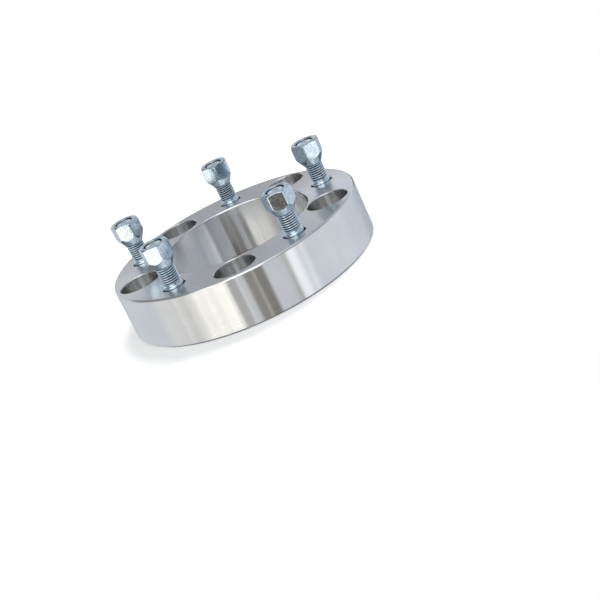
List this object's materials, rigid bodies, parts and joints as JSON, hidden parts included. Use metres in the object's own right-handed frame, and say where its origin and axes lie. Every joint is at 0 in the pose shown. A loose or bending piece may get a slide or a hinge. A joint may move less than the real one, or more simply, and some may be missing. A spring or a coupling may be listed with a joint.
{
  "type": "wheel spacer",
  "caption": "Flat turned aluminium ring with a wide centre bore, counterbored pockets for the hub's nuts, and press-fit studs carrying open-ended cone nuts.",
  "frame": {"origin": "centre of the back face, the one that bolts to the hub", "axes": "+Z along the ring's axis towards the wheel, +X and +Y across it, with the first pocket on the -Y side"},
  "size_m": [0.174, 0.174, 0.0655],
  "materials": {
    "ring_aluminium": "satin, as turned",
    "stud_steel": "bright zinc plate",
    "nut_steel": "bright zinc plate"
  },
  "bodies": {
    "root": {"spacer_ring": "ring_aluminium", "wheel_stud_1": "stud_steel", "wheel_stud_2": "stud_steel", "wheel_stud_3": "stud_steel", "wheel_stud_4": "stud_steel", "wheel_stud_5": "stud_steel", "lug_nut_1": "nut_steel", "lug_nut_2": "nut_steel", "lug_nut_3": "nut_steel", "lug_nut_4": "nut_steel", "lug_nut_5": "nut_steel"}
  },
  "joints": []
}
